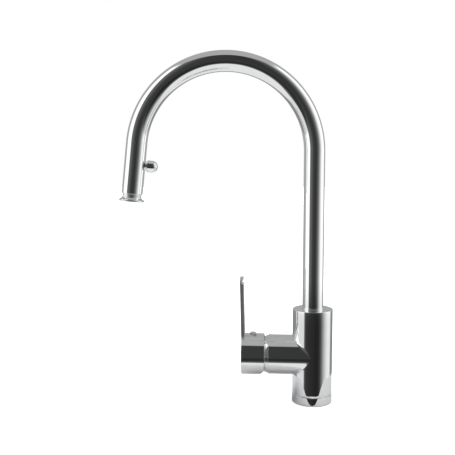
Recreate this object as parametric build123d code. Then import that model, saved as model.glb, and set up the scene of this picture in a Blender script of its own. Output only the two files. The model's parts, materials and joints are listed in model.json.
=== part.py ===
from build123d import *

import math
import os

# A pull-down kitchen faucet: an upright body with a side branch that holds the mixing
# cartridge and its lever, and a swivelling arched spout whose end is a pull-down spray wand.
#
# Frame: the origin is the centre of the deck face, +Z is up and the branch points along -X.
# Lengths are in millimetres and angles in degrees.

# ---- Driving dimensions ----

# Body and branch
body_radius = 25.0
body_height = 119.0
body_wall = 2.6
branch_height = 59.75
branch_radius = 24.9
branch_reach = 55.2
top_plate = 6.0
base_ring_radius = 25.1
base_ring_height = 11.0
base_ring_round = 1.6
base_ring_bevel = 0.05
base_spigot_radius = 22.4
base_seal_height = 1.6

# Spout
tube_radius = 13.0
tube_wall = 1.2
arc_radius = 109.2
arc_height = 314.5
arc_shortfall = 5.84
spout_swing = 4.1

# Wand, measured along its own axis from the seam with the spout
wand_length = 72.6
wand_shell_end = 62.9
wand_neck_radius = 11.7
wand_lip_radius = 15.5
wand_lip_height = 2.3
button_station = 27.6
knob_radius = 7.2
knob_base = 15.2
knob_tip = 28.4
button_travel = 1.5

# Lever
hub_radius = 25.9
hub_inner_reach = 60.2
hub_outer_reach = 88.8
pivot_reach = 49.5
blade_width = 19.0
blade_thickness = 4.3
blade_top = 158.8
blade_lean = 1.35
plug_reach = 74.6

# Hose and deck fittings
hose_radius = 6.0
hose_offset = 7.2
shank_radius = 16.6
shank_neck_radius = 16.2
shank_end_bevel = 1.0
shank_thread_radius = 16.3
shank_bore_radius = 15.0
shank_length = 60.0
deck_collar_length = 12.0
inlet_radius = 3.5

# Gaps between pieces that slide or turn on each other
running_gap = 0.05
loose_gap = 0.3

# ---- Derived places ----

body_bore = body_radius - body_wall
floor_top = base_ring_height + body_wall
tube_bore = tube_radius - tube_wall
arc_end_angle = 180.0 - arc_shortfall
swing = Rot(0, 0, spout_swing)
branch = Pos(0, 0, branch_height) * Rot(0, -90, 0)
arc_end = Vector(
    -arc_radius - arc_radius * math.cos(math.radians(arc_shortfall)),
    0,
    arc_height + arc_radius * math.sin(math.radians(arc_shortfall)),
)
wand_down = Vector(
    -math.sin(math.radians(arc_shortfall)), 0, -math.cos(math.radians(arc_shortfall))
)
wand_inward = Vector(-wand_down.Z, 0, wand_down.X)
wand_frame = swing * Plane(origin=arc_end, x_dir=wand_inward, z_dir=wand_down).location
foot = (Align.CENTER, Align.CENTER, Align.MIN)


# ---- Shape helpers ----


def rod(radius, low, high, x=0.0, y=0.0):
    """A solid cylinder along local Z between two stations."""
    return Pos(x, y, low) * Cylinder(radius, high - low, align=foot)


def ring(outer, inner, low, high, x=0.0, y=0.0):
    """A plain tube along local Z between two stations."""
    return rod(outer, low, high, x, y) - rod(inner, low, high, x, y)


def block(size_x, size_y, low, high, x=0.0, y=0.0):
    """A box along local Z between two stations."""
    return Pos(x, y, low) * Box(size_x, size_y, high - low, align=foot)


def turned(*outline):
    """A solid of revolution about local Z, from an outline of (radius, station) points."""
    profile = Plane.XZ * make_face(Polyline(*outline, close=True))
    return revolve(profile, Axis.Z)


def o_ring(radius, section, station):
    """A round seal that lies across local Z, with the radius of its outer edge."""
    return Pos(0, 0, station) * Torus(radius - section, section)


def bend(outer, inner=0.0):
    """The stretch of a round bar or tube that follows the spout's arc."""
    section = Circle(outer) - Circle(inner) if inner else Circle(outer)
    axis = Axis((-arc_radius, 0, arc_height), (0, -1, 0))
    return revolve(Pos(0, 0, arc_height) * section, axis, arc_end_angle)


def inward(shape):
    """Stands a shape made along local Z on the wand's button axis, pointing at the column."""
    return Pos(0, 0, button_station) * Rot(0, 90, 0) * shape


def sphere_radius_at(sphere, reach):
    """The radius of a sphere about the lever's pivot where it crosses a reach of the branch."""
    return math.sqrt(sphere**2 - (reach - pivot_reach) ** 2)


# ---- Body: barrel, base and shank ----

branch_bore = branch_radius - body_wall
swivel_bore = 16.1
swivel_floor = 86.0
swivel_shoulder = 88.0
thrust_top = 89.0
lock_height = 100.0
lock_radius = 2.5
plate_low = body_height - top_plate
body_rim_bevel = 0.6
branch_rim_bevel = 0.25


def make_body_shell():
    barrel = rod(body_radius, base_ring_height, body_height)
    barrel = chamfer(barrel.edges().sort_by(Axis.Z)[-1], body_rim_bevel)
    side = rod(branch_radius, 0, branch_reach)
    side = branch * chamfer(side.edges().sort_by(Axis.Z)[-1], branch_rim_bevel)
    spigot = rod(base_spigot_radius, base_seal_height, floor_top)
    hollow = rod(body_bore, floor_top, plate_low)
    hollow += branch * rod(branch_bore, 0, branch_reach)
    openings = rod(swivel_bore, plate_low, body_height)
    openings += rod(shank_neck_radius, base_seal_height, floor_top)
    openings += Pos(0, 0, lock_height) * Rot(0, 90, 0) * rod(lock_radius, body_bore - 2, body_radius + 2)
    return barrel + side + spigot - hollow - openings


def make_base_ring():
    outer = rod(base_ring_radius, 0, base_ring_height)
    outer = fillet(outer.edges().sort_by(Axis.Z)[0], base_ring_round)
    outer = chamfer(outer.edges().sort_by(Axis.Z)[-1], base_ring_bevel)
    return outer - rod(base_spigot_radius, 0, base_ring_height)


def make_base_seal():
    return ring(base_spigot_radius, shank_radius + loose_gap, 0, base_seal_height)


def make_shank():
    collar = rod(shank_radius, -deck_collar_length, 0) + rod(shank_neck_radius, 0, floor_top)
    tail = rod(shank_thread_radius, -shank_length, -deck_collar_length)
    tail = chamfer(tail.edges().sort_by(Axis.Z)[0], shank_end_bevel)
    return collar + tail - rod(shank_bore_radius, -shank_length, floor_top)


# ---- Waterway block, which carries the water between the inlets and the cartridge ----

cup_floor = 20.0
cup_mouth = 53.0
cup_radius = 22.1
cup_bore = 17.7
cup_thread_radius = 20.4
cup_thread_start = 45.0
nose_radius = 14.8
nose_low = -4.0
column_radius = 18.0
block_top = branch_height + cup_radius + 1.0
hose_guide_radius = 7.0
hose_funnel_radius = 9.0
hose_funnel_low = branch_height + 9.0
channel_x = -4.6
channel_spread = 9.5
channel_radius = 2.6
inlet_depth = 10.0
port_radius = 2.2
port_places = ((3.6, 7.4), (3.6, -7.4), (-5.0, 0.0))


def make_channel(up, side):
    """One drilling, up from its inlet and then along the branch to its cartridge port."""
    y = math.copysign(channel_spread, side) if side else 0.0
    top = branch_height + up + port_radius
    drilling = rod(inlet_radius, nose_low, nose_low + inlet_depth, channel_x, y)
    drilling += rod(channel_radius, nose_low, top, channel_x, y)
    drilling += branch * rod(port_radius, -channel_x - 1, cup_floor, up, side)
    return drilling


def make_waterway_block():
    solid = rod(column_radius, floor_top, block_top)
    solid += rod(nose_radius, nose_low, floor_top)
    solid += branch * rod(cup_radius, 0, cup_mouth)
    solid -= branch * rod(cup_bore, cup_floor, cup_mouth)
    solid -= branch * ring(cup_radius + 1, cup_thread_radius, cup_thread_start, cup_mouth)
    solid -= rod(hose_guide_radius, nose_low, block_top, hose_offset)
    solid -= rod(hose_funnel_radius, hose_funnel_low, block_top, hose_offset - 1)
    for up, side in port_places:
        solid -= make_channel(up, side)
    return solid


# ---- Swivel seat at the top of the body ----

sleeve_radius = swivel_bore - running_gap
sleeve_top = body_height - 2.0
washer_radius = 13.4
lock_groove_radius = 14.6
lock_groove_width = 5.2
lock_tip = 14.8
lock_tip_radius = 1.9
lock_tip_length = 1.0
lock_sink = 0.6
lock_socket = 1.4
lock_socket_depth = 3.0
seal_section = 0.75
seal_heights = (93.0, 108.5)
collar_lip_radius = 13.8
collar_lip_rise = 2.0


def make_swivel_housing():
    housing = ring(body_bore, swivel_bore, swivel_floor, plate_low)
    housing += ring(swivel_bore, washer_radius, swivel_floor, swivel_shoulder)
    return housing - Pos(0, 0, lock_height) * Rot(0, 90, 0) * rod(lock_radius, 10, body_bore)


def make_thrust_washer():
    return ring(sleeve_radius, washer_radius, swivel_shoulder, thrust_top)


def make_spout_lock_screw():
    screw_end = body_radius - lock_sink
    screw = rod(lock_radius, lock_tip + lock_tip_length, screw_end)
    screw += rod(lock_tip_radius, lock_tip, lock_tip + lock_tip_length)
    socket = extrude(RegularPolygon(lock_socket, 6), lock_socket_depth)
    screw -= Pos(0, 0, screw_end - lock_socket_depth) * socket
    return Pos(0, 0, lock_height) * Rot(0, 90, 0) * screw


# ---- Cartridge, along the branch ----

cartridge_radius = 17.5
cartridge_shoulder = 44.0
neck_radius = 12.6
neck_end = 56.0
chamber_radius = 15.05
chamber_end = 42.6
base_plate_end = 24.0
disc_start = 26.0
disc_seam = 30.0
disc_film = 0.02
carrier_start = 34.0
carrier_end = 40.0
sliding_disc_radius = 10.8
seal_recess = 1.2
seal_radius = 3.6
turret_radius = 10.5
turret_bore = turret_radius + running_gap
turret_flange_radius = 14.5
turret_flange_start = 40.8
turret_flange_end = 42.4
turret_end = 57.5
rib_width = 2.0
rib_offset = 8.1
rib_start = 38.0
stem_slot_width = 8.2
stem_slot_low = -7.8
stem_slot_high = 6.4
pin_radius = 1.5
pin_length = 19.0
ball_reach = 37.5
ball_radius = 2.6
ball_pocket = 2.75
pocket_floor = 34.6
stem_size = 8.0
stem_neck_radius = 1.6
stem_boss_radius = 4.2
stem_end = 80.0
stem_collar_radius = 2.4
stem_collar_start = 42.0
nut_end = 51.0
nut_notches = 4
nut_notch_depth = 2.5
disc_slot_length = 18.0
disc_slot_width = 7.0
disc_slot_depth = 2.2
disc_slot_shift = -3.6


def at_ports(shape_at):
    """Joins a shape made at each of the three cartridge ports."""
    pieces = [shape_at(up, side) for up, side in port_places]
    return pieces[0] + pieces[1] + pieces[2]


def make_cartridge_base():
    base = rod(cartridge_radius, cup_floor, base_plate_end)
    base += rod(chamber_radius, base_plate_end, disc_start)
    base -= at_ports(lambda up, side: rod(port_radius, cup_floor, disc_start, up, side))
    for low in (cup_floor, disc_start - seal_recess):
        base -= at_ports(lambda up, side: rod(seal_radius, low, low + seal_recess, up, side))
    return branch * base


def make_port_seals(low):
    """Three rubber rings, one round each port, from a face of the cartridge base."""
    seals = [
        branch * ring(seal_radius, port_radius, low, low + seal_recess, up, side)
        for up, side in port_places
    ]
    return Compound(seals)


def make_fixed_disc():
    disc = rod(chamber_radius, disc_start, disc_seam)
    return branch * (disc - at_ports(lambda up, side: rod(port_radius, disc_start, disc_seam, up, side)))


def make_sliding_disc():
    disc = rod(sliding_disc_radius, disc_seam + disc_film, carrier_start)
    slot = extrude(SlotOverall(disc_slot_length, disc_slot_width, rotation=90), disc_slot_depth)
    return branch * (disc - Pos(disc_slot_shift, 0, disc_seam) * slot)


def make_disc_carrier():
    carrier = rod(sliding_disc_radius, carrier_start, carrier_end)
    carrier -= rod(ball_pocket, pocket_floor, carrier_end)
    groove_width = rib_width + 2 * running_gap
    for side in (-1, 1):
        carrier -= block(30, groove_width, rib_start - 0.3, carrier_end, 0, side * rib_offset)
    return branch * carrier


def make_cartridge_body():
    body = rod(cartridge_radius, base_plate_end, cartridge_shoulder)
    body += rod(neck_radius, cartridge_shoulder, neck_end)
    body -= rod(chamber_radius, base_plate_end, chamber_end)
    return branch * (body - rod(turret_bore, chamber_end, neck_end))


def make_cartridge_nut():
    nut = ring(cup_bore, neck_radius + loose_gap, cartridge_shoulder, nut_end)
    for notch in range(nut_notches):
        turn = Rot(0, 0, 45 + 360 * notch / nut_notches)
        nut -= turn * block(6, 3, nut_end - nut_notch_depth, nut_end, 16.5)
    return branch * nut


def make_lever_turret():
    turret = rod(turret_flange_radius, turret_flange_start, turret_flange_end)
    turret += rod(turret_radius, turret_flange_end, turret_end)
    for side in (-1, 1):
        turret += block(14, rib_width, rib_start, turret_flange_start, 0, side * rib_offset)
    slot_middle = (stem_slot_low + stem_slot_high) / 2
    slot_height = stem_slot_high - stem_slot_low
    turret -= block(slot_height, stem_slot_width, rib_start, turret_end, slot_middle)
    pin_hole = Pos(0, 0, pivot_reach) * Rot(90, 0, 0) * Cylinder(pin_radius, 2 * turret_radius + 2)
    return branch * (turret - pin_hole)


def make_stem_pin():
    return branch * Pos(0, 0, pivot_reach) * Rot(90, 0, 0) * Cylinder(pin_radius, pin_length)


def make_stem():
    stem = Pos(0, 0, ball_reach) * Sphere(ball_radius)
    stem += rod(stem_neck_radius, ball_reach, stem_collar_start + 1)
    stem += rod(stem_collar_radius, stem_collar_start, pivot_reach)
    stem += Pos(0, 0, pivot_reach) * Rot(90, 0, 0) * Cylinder(stem_boss_radius, stem_size)
    stem += block(stem_size, stem_size, pivot_reach + 1, stem_end)
    hole = Cylinder(pin_radius + running_gap, stem_size + 2)
    return branch * (stem - Pos(0, 0, pivot_reach) * Rot(90, 0, 0) * hole)


# ---- Dome cover and lever ----

dome_radius = 24.8
dome_wall = 1.6
dome_open_reach = 66.0
dome_skirt_start = 46.0
hub_cavity_radius = dome_radius + loose_gap
hub_boss_radius = 8.5
hub_boss_start = 63.0
hub_bevel = 0.3
hub_cut_reach = 62.8
hub_cut_drop = 20.1
hub_cut_tilt = 36.5
hub_cut_size = 80.0
plug_radius = 3.9
plug_seat = 21.5
plug_rise = 2.3
plug_round = 2.0
set_screw_radius = 2.5
set_screw_length = 9.0
set_screw_socket = 1.4
set_screw_socket_depth = 3.0
grip_height = 152.0
grip_radius = 2.5
grip_depth = 2.4
blade_foot = -4.0
blade_foot_round = 3.0
blade_screw_radius = 2.0
blade_screw_head_height = 4.0
blade_socket = 1.7
blade_socket_depth = 2.2
blade_screw_head = 3.4
blade_screw_up = 13.5
blade_screw_side = 6.4
blade_screw_seat = 80.0
blade_screw_end = hub_outer_reach - 1.5


def make_dome_cover():
    ball = Pos(0, 0, pivot_reach) * Sphere(dome_radius)
    ball -= Pos(0, 0, pivot_reach) * Sphere(dome_radius - dome_wall)
    dome = ball & rod(dome_radius + 1, branch_reach, dome_open_reach)
    inner = sphere_radius_at(dome_radius - dome_wall, branch_reach)
    dome += ring(sphere_radius_at(dome_radius, branch_reach + 1), inner - 1, branch_reach, branch_reach + 1)
    dome += ring(branch_bore - running_gap, cup_thread_radius, dome_skirt_start, branch_reach)
    return branch * dome


def place_blade(shape):
    """Moves a shape made upright at the hub's outer face to the blade's lean."""
    return Pos(-hub_outer_reach, 0, branch_height) * Rot(0, -blade_lean, 0) * shape


def make_blade_plate():
    """A flat blade with a round top and a finger groove across its inner face."""
    high = blade_top - branch_height
    outline = Rectangle(blade_width, high - blade_foot)
    outline = Pos(0, (high + blade_foot) / 2) * outline
    outline = fillet(outline.vertices().group_by(Axis.Y)[-1], blade_width / 2 - 0.05)
    outline = fillet(outline.vertices().group_by(Axis.Y)[0], blade_foot_round)
    blade = extrude(Plane.YZ * outline, blade_thickness)
    groove_x = blade_thickness + grip_radius - grip_depth
    groove = Pos(groove_x, 0, grip_height - branch_height) * Rot(90, 0, 0)
    return place_blade(blade - groove * Cylinder(grip_radius, blade_width + 2))


def make_blade_screw_holes():
    holes = [
        branch * rod(blade_screw_radius, blade_screw_seat, blade_screw_end, blade_screw_up, side)
        for side in (-blade_screw_side, blade_screw_side)
    ]
    return holes[0] + holes[1]


def make_lever_blade():
    return make_blade_plate() - make_blade_screw_holes()


def make_blade_screws():
    """Two socket-head screws, driven from inside the hub into the blade."""
    screws = []
    for side in (-1, 1):
        head_low = blade_screw_seat - blade_screw_head_height
        screw = rod(blade_screw_head, head_low, blade_screw_seat)
        screw += rod(blade_screw_radius, blade_screw_seat, blade_screw_end)
        screw -= Pos(0, 0, head_low) * extrude(RegularPolygon(blade_socket, 6), blade_socket_depth)
        screws.append(branch * Pos(blade_screw_up, side * blade_screw_side, 0) * screw)
    return screws


def make_handle_hub():
    hub = rod(hub_radius, hub_inner_reach, hub_outer_reach)
    hub = chamfer(hub.edges().sort_by(Axis.Z)[-1], hub_bevel)
    hub -= Pos(0, 0, pivot_reach) * Sphere(hub_cavity_radius)
    hub += rod(hub_boss_radius, hub_boss_start, pivot_reach + hub_cavity_radius + 1)
    hub -= block(stem_size, stem_size, hub_boss_start, stem_end)
    cutter = Pos(0, 0, -hub_cut_size / 4) * Box(hub_cut_size, hub_cut_size, hub_cut_size / 2)
    hub -= Pos(-hub_cut_drop, 0, hub_cut_reach) * Rot(0, hub_cut_tilt, 0) * cutter
    hub = branch * hub
    up = branch * Pos(0, 0, plug_reach) * Rot(0, 90, 0)
    hub -= up * rod(set_screw_radius, 0, plug_seat)
    hub -= up * rod(plug_radius, plug_seat, hub_radius + 1)
    hub -= make_blade_plate()
    for side in (-1, 1):
        hole = rod(blade_screw_head, pivot_reach, blade_screw_seat)
        hole += rod(blade_screw_radius, blade_screw_seat, hub_outer_reach)
        hub -= branch * Pos(blade_screw_up, side * blade_screw_side, 0) * hole
    return hub


def make_set_screw():
    high = stem_size / 2 + set_screw_length
    screw = rod(set_screw_radius, stem_size / 2, high)
    socket = extrude(RegularPolygon(set_screw_socket, 6), set_screw_socket_depth)
    screw -= Pos(0, 0, high - set_screw_socket_depth) * socket
    return branch * Pos(0, 0, plug_reach) * Rot(0, 90, 0) * screw


def make_screw_plug():
    head_top = hub_radius + plug_rise
    plug = rod(plug_radius, plug_seat, head_top)
    plug = fillet(plug.edges().sort_by(Axis.Z)[-1], plug_round)
    return branch * Pos(0, 0, plug_reach) * Rot(0, 90, 0) * plug


# ---- Spout ----

dock_radius = 11.4
dock_flange_radius = 11.78
dock_flange = 1.0
dock_bore = 7.2
dock_depth = 8.0
spigot_radius = 10.2
spigot_length = 9.0
spigot_bevel = 0.8
collar_bevel = 0.4
hose_split = 152.0


def make_spout_tube():
    column = ring(tube_radius, tube_bore, thrust_top, arc_height)
    return swing * (column + bend(tube_radius, tube_bore))


def make_spout_sleeve():
    sleeve = ring(sleeve_radius, tube_radius, thrust_top, sleeve_top)
    groove_low = lock_height - lock_groove_width / 2
    sleeve -= ring(swivel_bore, lock_groove_radius, groove_low, groove_low + lock_groove_width)
    for height in seal_heights:
        sleeve -= ring(swivel_bore, swivel_bore - 2 * seal_section, height - 1, height + 1)
    return swing * sleeve


def make_spout_seals():
    seals = [o_ring(swivel_bore - 0.03, seal_section - 0.03, height) for height in seal_heights]
    return Compound([swing * seal for seal in seals])


def make_spout_collar():
    collar = ring(sleeve_radius, tube_radius, sleeve_top, body_height)
    lip = rod(collar_lip_radius, body_height, body_height + collar_lip_rise)
    lip = chamfer(lip.edges().sort_by(Axis.Z)[-1], collar_bevel)
    return swing * (collar + lip - rod(tube_radius, body_height, body_height + collar_lip_rise))


def make_wand_dock():
    dock = ring(dock_radius, dock_bore, -dock_depth, 0)
    dock += ring(dock_flange_radius, dock_bore, -dock_flange, 0)
    spigot = rod(spigot_radius, 0, spigot_length)
    spigot = chamfer(spigot.edges().sort_by(Axis.Z)[-1], spigot_bevel)
    return wand_frame * (dock + spigot - rod(dock_bore, 0, spigot_length))


# ---- Hose ----

hose_low = -66.0
hose_turn = 70.0
hose_turn_radius = 200.0
coupling_radius = 7.2
coupling_top = -62.0
nipple_radius = 5.0
nipple_low = -92.0
nipple_bore = 3.5
nipple_start = hose_low - 8.0
nipple_bevel = 0.8


def make_hose_in_spout():
    hose = rod(hose_radius, hose_split, arc_height) + bend(hose_radius)
    return swing * hose + wand_frame * rod(hose_radius, 0, spigot_length)


def make_hose_in_body():
    route = FilletPolyline(
        (hose_offset, 0, hose_low),
        (hose_offset, 0, hose_turn),
        (0, 0, hose_split - 12),
        (0, 0, hose_split),
        radius=hose_turn_radius,
    )
    return sweep(Plane(origin=(hose_offset, 0, hose_low), z_dir=(0, 0, 1)) * Circle(hose_radius), route)


def make_hose_coupling():
    crimp = ring(coupling_radius, hose_radius, hose_low, coupling_top)
    crimp += rod(coupling_radius, nipple_start, hose_low)
    nipple = rod(nipple_radius, nipple_low, nipple_start)
    nipple = chamfer(nipple.edges().sort_by(Axis.Z)[0], nipple_bevel)
    return Pos(hose_offset, 0, 0) * (crimp + nipple - rod(nipple_bore, nipple_low, hose_low))


# ---- Wand, in its own frame: local Z runs down the wand and local X points at the column ----

wand_bore = 11.6
wand_gap = 0.1
wand_shell_bevel = 0.8
guide_start = 0.8
hose_nut_start = 10.0
hose_end = 12.4
hose_nut_end = 13.5
nut_radius = 9.2
nut_nipple_radius = 6.0
nut_nipple_end = 18.0
valve_radius = 5.0
valve_bore = 3.0
valve_end = 23.0
core_start = 13.6
core_radius = 11.5
core_end = 57.0
core_tail_radius = 9.6
core_tail_end = 64.0
spool_bore = 3.5
spool_radius = spool_bore - running_gap
spool_inner = -6.0
spring_inner = -10.5
bezel_radius = 6.3
bezel_height = 13.6
bezel_bore = 4.6
bezel_seat_radius = 5.4
knob_neck_radius = bezel_bore - running_gap
knob_neck_start = 12.6
knob_pocket_radius = 5.0
neck_start = 58.0
plate_radius = 12.6
plate_start = 69.6
plate_end = 71.9
aerator_radius = 7.6
aerator_start = 64.2
spray_ring_radius = 10.2
spray_holes = 16
spray_hole_radius = 0.6


def make_wand_shell():
    shell = rod(tube_radius, wand_gap, wand_shell_end)
    shell = chamfer(shell.edges().sort_by(Axis.Z)[-1], wand_shell_bevel)
    shell -= rod(wand_bore, wand_gap, wand_shell_end)
    return wand_frame * (shell - inward(rod(bezel_seat_radius, 8, tube_radius + 1)))


def make_wand_guide():
    return wand_frame * ring(wand_bore, spigot_radius + running_gap, guide_start, guide_start + spigot_length)


def make_hose_pull_out():
    return wand_frame * rod(hose_radius, spigot_length, hose_end)


def make_hose_nut():
    nut = extrude(RegularPolygon(nut_radius, 6), hose_nut_end - hose_nut_start)
    nut = Pos(0, 0, hose_nut_start) * nut + rod(nut_nipple_radius, hose_nut_end, nut_nipple_end)
    nut -= rod(hose_radius, hose_nut_start, hose_end)
    return wand_frame * (nut - rod(nipple_bore, hose_end, nut_nipple_end))


def make_check_valve():
    valve = ring(valve_radius, valve_bore, nut_nipple_end, valve_end)
    for turn in (0, 90):
        valve += Rot(0, 0, turn) * block(2 * valve_bore + 0.5, 0.8, nut_nipple_end + 1, valve_end - 1)
    return wand_frame * valve


def make_diverter_core():
    core = rod(core_radius, core_start, core_end) + rod(core_tail_radius, core_end, core_tail_end)
    core -= rod(nut_nipple_radius, core_start, nut_nipple_end)
    core -= rod(valve_radius, nut_nipple_end, valve_end)
    core -= rod(nipple_bore, valve_end, core_tail_end)
    core -= inward(rod(spool_bore, spring_inner, core_radius))
    core -= inward(rod(knob_pocket_radius, knob_neck_start - button_travel - 0.6, core_radius + 1))
    return wand_frame * core


def make_button_bezel():
    bezel = rod(bezel_radius, 8, bezel_height)
    bezel = chamfer(bezel.edges().sort_by(Axis.Z)[-1], 0.4)
    bezel = inward(bezel) - rod(tube_radius, 0, 60)
    bezel += inward(rod(bezel_seat_radius, 12.0, 13.2))
    return wand_frame * (bezel - inward(rod(bezel_bore, 0, bezel_height + 1)))


def make_button_knob():
    dome_start = knob_tip - knob_radius
    knob = rod(knob_radius, knob_base, dome_start)
    knob = chamfer(knob.edges().sort_by(Axis.Z)[0], 0.5)
    knob += Pos(0, 0, dome_start) * (Sphere(knob_radius) & rod(knob_radius + 1, 0, knob_radius + 1))
    knob += rod(knob_neck_radius, knob_neck_start, knob_base)
    knob -= rod(2.0, knob_neck_start, knob_base + 4)
    return wand_frame * inward(knob)


def make_diverter_spool():
    spool = rod(spool_radius, spool_inner, spool_inner + 4) + rod(spool_radius, 4.0, 8.5)
    spool += rod(2.0, spool_inner, knob_base + 4)
    return wand_frame * inward(spool)


def make_button_spring():
    return wand_frame * inward(ring(2.9, 2.1, spring_inner, spool_inner))


def make_nozzle_ring():
    lip_low = wand_length - wand_lip_height
    ring_profile = turned(
        (core_tail_radius, neck_start),
        (wand_bore, neck_start),
        (wand_bore, wand_shell_end),
        (wand_neck_radius, wand_shell_end),
        (wand_neck_radius, wand_shell_end + 4.0),
        (wand_neck_radius + 0.6, wand_shell_end + 5.6),
        (wand_neck_radius + 1.8, lip_low - 0.6),
        (wand_lip_radius - 0.7, lip_low),
        (wand_lip_radius, lip_low + 0.6),
        (wand_lip_radius, wand_length - 0.7),
        (wand_lip_radius - 0.7, wand_length),
        (plate_radius, wand_length),
        (plate_radius, plate_start),
        (core_tail_radius, plate_start),
    )
    return wand_frame * ring_profile


def make_spray_plate():
    plate = ring(plate_radius, aerator_radius, plate_start, plate_end)
    for hole in PolarLocations(spray_ring_radius, spray_holes):
        plate -= Pos(0, 0, plate_start) * hole * Cylinder(spray_hole_radius, 3 * wand_lip_height)
    return wand_frame * plate


def make_aerator():
    aerator = ring(aerator_radius, aerator_radius - 1.2, aerator_start, plate_end)
    aerator += rod(aerator_radius, aerator_start, aerator_start + 1.6)
    for turn in range(8):
        aerator -= Rot(0, 0, 45 * turn) * rod(0.8, aerator_start, aerator_start + 1.6, 4.2)
    return wand_frame * aerator


def make_aerator_screen():
    return wand_frame * rod(aerator_radius - 1.2, plate_end - 1.4, plate_end - 0.8)


# ---- Clamp under the deck ----

clamp_top = -31.0
gasket_thickness = 3.0
washer_thickness = 2.0
nut_thickness = 10.0
clamp_bore = 17.0
clamp_radius = 29.0
nut_across_corners = 26.5


def make_deck_gasket():
    return ring(clamp_radius, clamp_bore, clamp_top - gasket_thickness, clamp_top)


def make_deck_washer():
    washer_top = clamp_top - gasket_thickness
    return ring(clamp_radius, clamp_bore, washer_top - washer_thickness, washer_top)


def make_deck_nut():
    nut_top = clamp_top - gasket_thickness - washer_thickness
    nut = extrude(RegularPolygon(nut_across_corners, 6), -nut_thickness)
    nut = Pos(0, 0, nut_top) * nut
    return nut - rod(shank_thread_radius + running_gap, nut_top - nut_thickness, nut_top)


# ---- The nodes ----

nodes = {
    "body_shell": make_body_shell(),
    "base_ring": make_base_ring(),
    "base_seal": make_base_seal(),
    "shank": make_shank(),
    "waterway_block": make_waterway_block(),
    "swivel_housing": make_swivel_housing(),
    "thrust_washer": make_thrust_washer(),
    "spout_lock_screw": make_spout_lock_screw(),
    "cartridge_base": make_cartridge_base(),
    "inlet_seals": make_port_seals(cup_floor),
    "disc_seals": make_port_seals(disc_start - seal_recess),
    "fixed_disc": make_fixed_disc(),
    "cartridge_body": make_cartridge_body(),
    "cartridge_nut": make_cartridge_nut(),
    "dome_cover": make_dome_cover(),
    "hose_in_body": make_hose_in_body(),
    "hose_coupling": make_hose_coupling(),
    "lever_turret": make_lever_turret(),
    "stem_pin": make_stem_pin(),
    "sliding_disc": make_sliding_disc(),
    "disc_carrier": make_disc_carrier(),
    "handle_hub": make_handle_hub(),
    "lever_blade": make_lever_blade(),
    "lever_stem": make_stem(),
    "set_screw": make_set_screw(),
    "screw_plug": make_screw_plug(),
    "blade_screws": Compound(make_blade_screws()),
    "spout_tube": make_spout_tube(),
    "spout_sleeve": make_spout_sleeve(),
    "spout_seals": make_spout_seals(),
    "spout_collar": make_spout_collar(),
    "wand_dock": make_wand_dock(),
    "hose_in_spout": make_hose_in_spout(),
    "wand_shell": make_wand_shell(),
    "wand_guide": make_wand_guide(),
    "hose_pull_out": make_hose_pull_out(),
    "hose_nut": make_hose_nut(),
    "check_valve": make_check_valve(),
    "diverter_core": make_diverter_core(),
    "button_bezel": make_button_bezel(),
    "nozzle_ring": make_nozzle_ring(),
    "spray_plate": make_spray_plate(),
    "aerator": make_aerator(),
    "aerator_screen": make_aerator_screen(),
    "button_knob": make_button_knob(),
    "diverter_spool": make_diverter_spool(),
    "button_spring": make_button_spring(),
    "deck_gasket": make_deck_gasket(),
    "deck_washer": make_deck_washer(),
    "deck_nut": make_deck_nut(),
}

os.makedirs("parts", exist_ok=True)
for name, shape in nodes.items():
    export_step(shape, f"parts/{name}.step")
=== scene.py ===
import json
import math

import bmesh
import bpy
from mathutils import Matrix, Vector


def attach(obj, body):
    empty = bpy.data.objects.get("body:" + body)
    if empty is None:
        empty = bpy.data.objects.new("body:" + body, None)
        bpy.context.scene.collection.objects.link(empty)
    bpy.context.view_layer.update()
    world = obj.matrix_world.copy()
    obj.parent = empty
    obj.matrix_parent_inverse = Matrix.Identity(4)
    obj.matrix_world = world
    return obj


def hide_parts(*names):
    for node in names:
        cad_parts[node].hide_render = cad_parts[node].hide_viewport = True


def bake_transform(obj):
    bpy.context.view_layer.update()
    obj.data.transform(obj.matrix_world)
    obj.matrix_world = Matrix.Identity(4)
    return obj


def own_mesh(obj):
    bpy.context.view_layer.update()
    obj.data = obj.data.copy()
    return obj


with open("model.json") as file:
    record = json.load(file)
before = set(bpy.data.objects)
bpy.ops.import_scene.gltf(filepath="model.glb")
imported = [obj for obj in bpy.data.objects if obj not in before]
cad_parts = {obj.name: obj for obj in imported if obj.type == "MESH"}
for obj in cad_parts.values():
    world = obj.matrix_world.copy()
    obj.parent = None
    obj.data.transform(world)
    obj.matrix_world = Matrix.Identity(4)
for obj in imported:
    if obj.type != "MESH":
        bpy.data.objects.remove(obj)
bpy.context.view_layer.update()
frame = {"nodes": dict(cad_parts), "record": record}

# A pull-down kitchen faucet in polished chrome. Lengths are in millimetres until finish_mesh()
# turns them into metres. Each piece is made in the frame of the part that it belongs to.

MM = 0.001

# ---- Dimensions, as in the CAD model ----

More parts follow.
